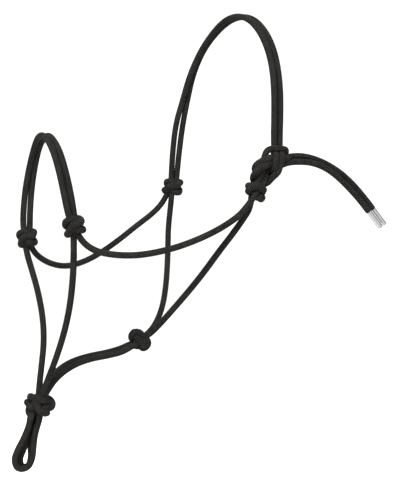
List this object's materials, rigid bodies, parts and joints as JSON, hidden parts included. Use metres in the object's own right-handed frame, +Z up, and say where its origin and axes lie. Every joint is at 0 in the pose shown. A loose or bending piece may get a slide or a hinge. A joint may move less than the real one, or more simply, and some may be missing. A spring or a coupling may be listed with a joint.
{
  "type": "rope halter",
  "caption": "Horse headstall tied from one braided rope: knotted noseband, cheeks, chin, throat and crown, with a sheet-bend tie, a lead loop and metal-tipped tails.",
  "frame": {"origin": "poll seat: the underside of the crown, where it lies on the horse's poll behind the ears", "axes": "+Z up, +X to the horse's left (the side of the tie), +Y from the nose towards the neck"},
  "size_m": [0.2276, 0.3913, 0.4919],
  "materials": {
    "rope": "matte braided black polyester",
    "ferrule": "polished bright metal"
  },
  "bodies": {
    "crown": {"crown_strand_front": "rope", "crown_strand_rear": "rope", "tie_loop": "rope", "tie_knot": "rope", "cheek_knot_left": "rope", "cheek_knot_right": "rope"},
    "cheek_frame": {"cheek_strand_left": "rope", "cheek_strand_right": "rope", "nose_knot_left": "rope", "nose_knot_right": "rope"},
    "noseband": {"noseband_strand_front": "rope", "noseband_strand_rear": "rope"},
    "chin": {"chin_strand_left": "rope", "chin_strand_right": "rope", "fiador_knot": "rope"},
    "throat": {"throat_strand_left": "rope", "throat_strand_right": "rope", "throat_knot": "rope"},
    "jaw": {"jaw_strand_left": "rope", "jaw_strand_right": "rope"},
    "lead_loop": {"lead_loop_left": "rope", "lead_loop_right": "rope"},
    "tail": {"tail_strand_upper": "rope", "tail_strand_lower": "rope", "tail_ferrule_upper": "ferrule", "tail_ferrule_lower": "ferrule"}
  },
  "joints": [
    {"name": "cheek_swing", "type": "hinge", "parent": "crown", "child": "cheek_frame", "pos_m": [0, -0.031, -0.189], "axis": [0.9984, 0, -0.0571], "range_deg": [-12, 12]},
    {"name": "noseband_swing", "type": "hinge", "parent": "cheek_frame", "child": "noseband", "pos_m": [0, -0.2185, -0.237], "axis": [0.9909, 0.0908, 0.0991], "range_deg": [-18, 18]},
    {"name": "chin_swing", "type": "hinge", "parent": "cheek_frame", "child": "chin", "pos_m": [0, -0.2185, -0.237], "axis": [0.9909, 0.0908, 0.0991], "range_deg": [-3, 8]},
    {"name": "throat_swing", "type": "hinge", "parent": "cheek_frame", "child": "throat", "pos_m": [0, -0.031, -0.189], "axis": [0.9984, 0, -0.0571], "range_deg": [-4.1, 10.9]},
    {"name": "jaw_swing", "type": "hinge", "parent": "throat", "child": "jaw", "pos_m": [0, -0.116, -0.353], "axis": [1, 0, 0], "range_deg": [-17.5, 6.6]},
    {"name": "lead_loop_swing", "type": "hinge", "parent": "chin", "child": "lead_loop", "pos_m": [0, -0.23, -0.416], "axis": [1, 0, 0], "range_deg": [-45, 60]},
    {"name": "tail_swing", "type": "hinge", "parent": "crown", "child": "tail", "pos_m": [0.1035, 0.008, -0.1605], "axis": [1, 0, 0], "range_deg": [-35, 20]}
  ],
  "couplings": [
    {"joint": "throat_swing", "follows": "chin_swing", "ratio": 1.35},
    {"joint": "jaw_swing", "follows": "chin_swing", "ratio": -2.18}
  ]
}
